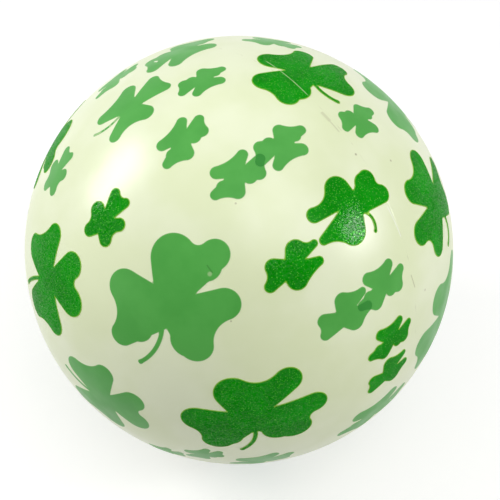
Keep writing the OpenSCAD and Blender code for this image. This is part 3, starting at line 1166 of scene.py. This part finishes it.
@dataclass
class BallSkin:
    """Hollow vinyl shell, turned about the valve's axis, with its boss and parting groove."""

    wall: float = 0.5
    boss_r: float = 13.0
    boss_t: float = 5.0
    recess_r: float = 8.3
    recess_floor: float = 112.7
    hole_r: float = 5.05
    groove_half: float = 0.25
    groove_depth: float = 0.05
    groove_rows: tuple[float, ...] = (1.6, 1.0, 0.7, 0.5, 0.36, 0.25, 0.16, 0.08)
    groove_zone: float = 2.2
    outer_rows: int = 186
    inner_rows: int = 62
    segments: int = 320
    finish: CreamVinyl = field(default_factory=CreamVinyl)

    def outer(self) -> list[tuple[float, float]]:
        """Draws the outside from the pole away from the valve up to the edge of its recess.

        Returns:
            Radius and height of each point.
        """
        end = math.pi - math.asin(self.recess_r / BALL_R)
        middle = math.pi / 2
        fine = [middle + side * row / BALL_R for row in self.groove_rows for side in (-1, 1)]
        even = np.linspace(0, end, self.outer_rows)
        rough = [a for a in even if abs(a - middle) > self.groove_zone / BALL_R]
        points = []
        for angle in sorted([*rough, *fine, middle]):
            s = abs(angle - middle) * BALL_R / self.groove_half
            sunk = self.groove_depth * (0.5 + 0.5 * math.cos(math.pi * min(1.0, s)))
            r = BALL_R - sunk
            points.append((r * math.sin(angle), -r * math.cos(angle)))
        return points

    def inner(self) -> list[tuple[float, float]]:
        """Draws the hole, the boss with its sloping flank and the inside, back to the far pole.

        Returns:
            Radius and height of each point.
        """
        inside = BALL_R - self.wall
        floor = BALL_R - self.boss_t
        points = [
            (self.recess_r, self.recess_floor), (self.hole_r, self.recess_floor),
            (self.hole_r, floor), (self.boss_r, floor),
        ]
        flank, step = 1.0, 0.05
        while math.hypot(self.boss_r + flank, floor + flank) < inside:
            flank += step
        start = math.pi - math.atan2(self.boss_r + flank, floor + flank)
        angles = np.linspace(start, 0, self.inner_rows)
        return points + [(inside * math.sin(a), -inside * math.cos(a)) for a in angles]

    def build(self) -> bpy.types.Object:
        """Turns the profile into the closed skin and puts it on the ball.

        Returns:
            The skin.
        """
        profile = np.array(self.outer() + self.inner())
        across = VALVE_AXIS.orthogonal().normalized()
        third = VALVE_AXIS.cross(across)
        turns = np.linspace(0, 2 * math.pi, self.segments, endpoint=False)
        ring = np.outer(np.cos(turns), across) + np.outer(np.sin(turns), third)
        body = profile[1:-1]
        verts = (body[:, None, :1] * ring[None] + body[:, None, 1:] * np.array(VALVE_AXIS)).reshape(-1, 3)
        poles = profile[[0, -1], 1:] * np.array(VALVE_AXIS)
        grid = np.arange(len(verts)).reshape(len(body), self.segments)
        beside = np.roll(grid, -1, axis=1)
        quads = np.stack([grid[:-1], beside[:-1], beside[1:], grid[1:]], -1).reshape(-1, 4)
        first, last = len(verts), len(verts) + 1
        caps = [(first, int(b), int(a)) for a, b in zip(grid[0], beside[0])]
        caps += [(last, int(a), int(b)) for a, b in zip(grid[-1], beside[-1])]
        mesh = bpy.data.meshes.new("ball_skin")
        mesh.from_pydata((np.vstack([verts, poles]) * MM).tolist(), [], quads.tolist() + caps)
        mesh.materials.append(self.finish.make())
        return settle(bpy.data.objects.new("ball_skin", mesh), "ball", "vinyl", "ball_shell")


@dataclass
class PrintTree:
    """Geometry Nodes that lay flat plates onto the ball at the places of their stamps."""

    name: str = "stamps_on_ball"
    sockets: dict[str, str] = field(default_factory=dict)

    def make(self) -> bpy.types.NodeTree:
        """Builds the tree.

        Returns:
            The tree, whose inputs' identifiers are kept in sockets.
        """
        tree = bpy.data.node_groups.new(self.name, "GeometryNodeTree")
        face = tree.interface
        kinds = {
            "Places": "Geometry", "Plates": "Collection", "Ball radius": "Float",
            "Underside": "Float", "Top": "Float", "Face tilt": "Float", "Ink": "Material",
        }
        for label, kind in kinds.items():
            socket = face.new_socket(label, in_out="INPUT", socket_type="NodeSocket" + kind)
            self.sockets[label] = socket.identifier
        face.new_socket("Print", in_out="OUTPUT", socket_type="NodeSocketGeometry")
        sheet = Sheet(tree)
        given = sheet.add("NodeGroupInput").outputs

        def stored(label: str, kind: str = "FLOAT") -> Socket:
            """Value that a place carries with it."""
            return sheet.add("GeometryNodeInputNamedAttribute", {"Name": label}, data_type=kind).outputs[0]

        plates = sheet.add("GeometryNodeCollectionInfo", {
            "Collection": given["Plates"], "Separate Children": True, "Reset Children": True,
        })
        size = stored("size")
        scale = sheet.add("ShaderNodeCombineXYZ", {0: size, 1: size, 2: 1.0})
        laid = sheet.add("GeometryNodeInstanceOnPoints", {
            "Points": given["Places"], "Instance": plates.outputs[0], "Pick Instance": True,
            "Instance Index": stored("plate", "INT"), "Scale": scale.outputs[0],
        })
        real = sheet.add("GeometryNodeRealizeInstances", {0: laid.outputs[0]})
        place = sheet.add("GeometryNodeInputPosition").outputs[0]
        flat = sheet.add("ShaderNodeSeparateXYZ", {0: place}).outputs
        film = sheet.math("SUBTRACT", given["Top"], given["Underside"])
        level = sheet.math("MULTIPLY_ADD", flat[2], film, given["Underside"])
        radius = sheet.math("ADD", given["Ball radius"], level)
        spread = sheet.math("MULTIPLY_ADD", flat[0], flat[0], sheet.times(flat[1], flat[1]))
        height = sheet.math("SQRT", sheet.math("SUBTRACT", sheet.times(radius, radius), spread))
        spot = sheet.add("ShaderNodeCombineXYZ", {0: flat[0], 1: flat[1], 2: height}).outputs[0]
        bearing = stored("bearing")
        back = sheet.times(sheet.math("COSINE", bearing), -1.0)
        lean = sheet.add("ShaderNodeCombineXYZ", {0: back, 1: sheet.math("SINE", bearing), 2: 0.0})
        moves = [
            ("Z_AXIS", {"Angle": sheet.times(stored("turn"), -1.0)}),
            ("AXIS_ANGLE", {"Axis": lean.outputs[0], "Angle": stored("angle")}),
            ("Y_AXIS", {"Angle": stored("behind")}),
            ("X_AXIS", {"Angle": given["Face tilt"]}),
        ]
        for kind, settings in moves:
            turned = sheet.add("ShaderNodeVectorRotate", {"Vector": spot, **settings}, rotation_type=kind)
            spot = turned.outputs[0]
        metres = sheet.add("ShaderNodeVectorMath", {0: spot, "Scale": MM}, operation="SCALE").outputs[0]
        moved = sheet.add("GeometryNodeSetPosition", {"Geometry": real.outputs[0], "Position": metres})
        inked = sheet.add("GeometryNodeSetMaterial", {
            "Geometry": moved.outputs[0], "Material": given["Ink"],
        })
        sheet.add("NodeGroupOutput", {0: inked.outputs[0]})
        return tree


@dataclass
class PrintLayer:
    """One layer of ink: its stamps on both halves, laid on by the tree."""

    name: str
    slot: str
    layer: Ink
    finish: LightInk | GlitterInk
    stamps: list[Stamp] = field(default_factory=list)
    patches: list[Doubled] = field(default_factory=list)
    nodes: tuple[str, ...] = ()
    underside: float = -0.08
    large: float = 20.0
    coarse_pitch: float = 1.0
    fine_pitch: float = 0.7

    def plates(self) -> tuple[bpy.types.Collection, dict[str, int]]:
        """Makes the flat plates that this layer needs.

        Returns:
            The collection of plates, and the number of each plate by name.
        """
        drawn: dict[str, Outline] = {stamp.cut.name: stamp.cut.value for stamp in self.stamps}
        drawn.update({f"patch{i}": patch for i, patch in enumerate(self.patches)})
        store = bpy.data.collections.new(self.name + "_plates")
        numbers = {}
        for number, (label, outline) in enumerate(drawn.items()):
            pitch = self.coarse_pitch if outline.half_width() > self.large else self.fine_pitch
            Plate(f"plate_{number:02d}", outline, pitch).build(store)
            numbers[label] = number
        return store, numbers

    def places(self, numbers: dict[str, int]) -> bpy.types.Object:
        """Makes one point for each stamp, with its place stored on it.

        Args:
            numbers: Number of each plate by name.

        Returns:
            An object whose points carry the stamps' places.
        """
        rows = [(numbers[stamp.cut.name], stamp, stamp.percent / 100) for stamp in self.stamps]
        rows += [(numbers[f"patch{i}"], patch.upper, 1.0) for i, patch in enumerate(self.patches)]
        spots = [(*row, half) for half in Half for row in rows]
        mesh = bpy.data.meshes.new(self.name + "_places")
        mesh.from_pydata([(0, 0, 0)] * len(spots), [], [])
        stored = {
            "size": [size for _, _, size, _ in spots],
            "bearing": [math.radians(stamp.bearing + half.spin()) for _, stamp, _, half in spots],
            "angle": [math.radians(stamp.angle) for _, stamp, _, _ in spots],
            "turn": [math.radians(stamp.turn + half.spin()) for _, stamp, _, half in spots],
            "behind": [math.pi * half.value for _, _, _, half in spots],
        }
        for label, values in stored.items():
            mesh.attributes.new(label, "FLOAT", "POINT").data.foreach_set("value", values)
        index = mesh.attributes.new("plate", "INT", "POINT")
        index.data.foreach_set("value", [number for number, _, _, _ in spots])
        return bpy.data.objects.new(self.name + "_places", mesh)

    def build(self, laying: PrintTree, tree: bpy.types.NodeTree) -> bpy.types.Object:
        """Prints the layer and puts it on the ball.

        Args:
            laying: The tree's inputs.
            tree: The tree that lays plates onto the ball.

        Returns:
            The printed layer.
        """
        store, numbers = self.plates()
        carrier = self.places(numbers)
        carried = [a.name for a in carrier.data.attributes if not (a.is_required or a.is_internal)]
        bpy.context.scene.collection.objects.link(carrier)
        modifier = carrier.modifiers.new("stamps", "NODES")
        modifier.node_group = tree
        values = {
            "Plates": store, "Ball radius": BALL_R, "Underside": self.underside, "Top": self.layer.value,
            "Face tilt": math.radians(FACE_TILT), "Ink": self.finish.make(),
        }
        for label, value in values.items():
            modifier[laying.sockets[label]] = value
        graph = bpy.context.evaluated_depsgraph_get()
        mesh = bpy.data.meshes.new_from_object(
            carrier.evaluated_get(graph), preserve_all_data_layers=True, depsgraph=graph)
        mesh.name = self.name
        for label in carried:
            if label in mesh.attributes:
                mesh.attributes.remove(mesh.attributes[label])
        bpy.data.objects.remove(carrier)
        for plate in list(store.objects):
            bpy.data.objects.remove(plate)
        bpy.data.collections.remove(store)
        return settle(bpy.data.objects.new(self.name, mesh), "ball", self.slot, *self.nodes)


@dataclass
class Valve:
    """Seat and plug, which keep the frame's solids and get their own plastics."""

    seat: ValvePlastic = ValvePlastic("milky_seat_plastic", tone(233, 235, 220), tone(224, 228, 208))
    plug: ValvePlastic = ValvePlastic(
        "white_plug_plastic", tone(243, 243, 238), tone(235, 236, 228), darker_depth=1.4)

    def dress(self) -> None:
        """Gives both solids their finishes."""
        for node, finish in (("valve_seat", self.seat), ("valve_plug", self.plug)):
            solid = frame["nodes"][node]
            solid.data.materials.clear()
            solid.data.materials.append(finish.make())
            LOG.info("%s: keeps its solid, finished in %s", node, finish.name)


# Stage


@dataclass
class Softbox:
    """A soft square lamp aimed at the ball."""

    name: str
    direction: Triple
    away: float
    size: float
    watts: float

    def build(self) -> None:
        """Hangs the lamp."""
        lamp = bpy.data.lights.new(self.name, "AREA")
        lamp.size = self.size
        lamp.energy = self.watts
        place = Vector(self.direction).normalized() * self.away
        turn = place.to_track_quat("Z", "Y").to_matrix().to_4x4()
        holder = bpy.data.objects.new(self.name, lamp)
        holder.matrix_world = Matrix.Translation(place) @ turn
        bpy.context.scene.collection.objects.link(holder)


@dataclass
class Studio:
    """Pale floor, soft light and the camera of the photograph's view."""

    floor_gap: float = 0.0003
    floor_z: float = -BALL_R * MM - floor_gap
    floor_half: float = 4.0
    floor_tone: Tone = (0.56, 0.56, 0.55, 1.0)
    floor_lift: float = 0.54
    fade: tuple[float, float] = (0.5, 1.8)
    ambient: float = 0.25
    view_away: float = 0.575
    near_clip: float = 0.01
    sensor: float = 36.0
    lens: float = 75.6
    shift_x: float = 0.022
    lamps: tuple[Softbox, ...] = (
        Softbox("left_softbox", (-0.77, 0.2, 0.606), 1.2, 0.34, 3.7),
        Softbox("left_low_softbox", (-0.9, 0.126, 0.418), 1.2, 0.22, 1.7),
        Softbox("right_softbox", (0.843, -0.252, 0.476), 1.2, 0.26, 3.6),
        Softbox("front_softbox", (0.31, -0.47, 0.82), 1.5, 1.0, 5.4),
        Softbox("top_softbox", (0.0, 0.1, 1.0), 1.6, 2.4, 10.6),
        Softbox("left_fill", (-0.95, -0.25, 0.15), 1.5, 1.4, 4.0),
    )

    def seen(self, sheet: Sheet) -> Socket:
        """Tells rays that show the background from those that light the ball.

        Args:
            sheet: Tree to add the test to.

        Returns:
            1 for camera, glossy and transmission rays, and 0 for the rest.
        """
        ray = sheet.add("ShaderNodeLightPath").outputs
        return sheet.most(ray["Is Camera Ray"], ray["Is Glossy Ray"], ray["Is Transmission Ray"])

    def floor(self) -> None:
        """Lays the floor, which keeps the ball's shadow near it and fades to white further away."""
        h, z = self.floor_half, self.floor_z
        mesh = bpy.data.meshes.new("studio_floor")
        mesh.from_pydata([(-h, -h, z), (h, -h, z), (h, h, z), (-h, h, z)], [], [(0, 1, 2, 3)])
        material = bpy.data.materials.new("pale_floor")
        material.use_nodes = True
        sheet = Sheet(material.node_tree)
        matt = sheet.add("ShaderNodeBsdfDiffuse", {"Color": self.floor_tone})
        place = sheet.add("ShaderNodeTexCoord").outputs["Object"]
        away = sheet.vector("DISTANCE", place, Vector((0, 0, z))).outputs["Value"]
        lift = sheet.ramp(away, *self.fade, self.floor_lift, 1.0)
        glow = sheet.add("ShaderNodeEmission", {"Strength": sheet.times(self.seen(sheet), lift)})
        both = sheet.add("ShaderNodeAddShader", {0: matt.outputs[0], 1: glow.outputs[0]})
        sheet.add("ShaderNodeOutputMaterial", {"Surface": both.outputs[0]})
        mesh.materials.append(material)
        floor = bpy.data.objects.new("studio_floor", mesh)
        bpy.context.scene.collection.objects.link(floor)

    def sky(self) -> None:
        """Sets the even light from all round, white where it is seen."""
        world = bpy.data.worlds.new("studio_world")
        world.use_nodes = True
        sheet = Sheet(world.node_tree)
        soft = sheet.add("ShaderNodeBackground", {"Color": WHITE, "Strength": self.ambient})
        white = sheet.add("ShaderNodeBackground", {"Color": WHITE, "Strength": 1.0})
        mix = sheet.add("ShaderNodeMixShader", {
            0: self.seen(sheet), 1: soft.outputs[0], 2: white.outputs[0],
        })
        sheet.add("ShaderNodeOutputWorld", {"Surface": mix.outputs[0]})
        bpy.context.scene.world = world

    def camera(self) -> None:
        """Sets up the camera square on to the printed face."""
        data = bpy.data.cameras.new("photo_view")
        data.sensor_width = self.sensor
        data.lens = self.lens
        data.shift_x = self.shift_x
        data.clip_start = self.near_clip
        back = outward(0, 0)
        holder = bpy.data.objects.new("photo_view", data)
        turn = back.to_track_quat("Z", "Y").to_matrix().to_4x4()
        holder.matrix_world = Matrix.Translation(back * self.view_away) @ turn
        bpy.context.scene.collection.objects.link(holder)
        bpy.context.scene.camera = holder

    def build(self) -> None:
        """Builds the whole stage."""
        self.floor()
        self.sky()
        self.camera()
        for lamp in self.lamps:
            lamp.build()
        bpy.context.scene.view_settings.view_transform = "Standard"


def main() -> None:
    """Builds the ball piece by piece, then the stage."""
    logging.basicConfig(level=logging.INFO, format="%(message)s")
    BallSkin().build()
    laying = PrintTree()
    tree = laying.make()
    light = LightInk()
    doubled = LightInk("doubled_light_ink", tone(50, 142, 50), tone(44, 134, 46), bare=light.ink)
    layers = [
        PrintLayer("light_stamps", "light_ink", Ink.LIGHT, light, LIGHT_STAMPS, nodes=("light_print",)),
        PrintLayer("lapped_stamps", "light_ink", Ink.LAPPED, light, LAPPED_STAMPS),
        PrintLayer("doubled_patches", "light_ink", Ink.DOUBLED, doubled, patches=DOUBLED_PATCHES),
        PrintLayer("dark_stamps", "dark_ink", Ink.DARK, GlitterInk(), DARK_STAMPS, nodes=("dark_print",)),
    ]
    for layer in layers:
        layer.build(laying, tree)
    Valve().dress()
    Studio().build()


if __name__ == "__main__":
    main()
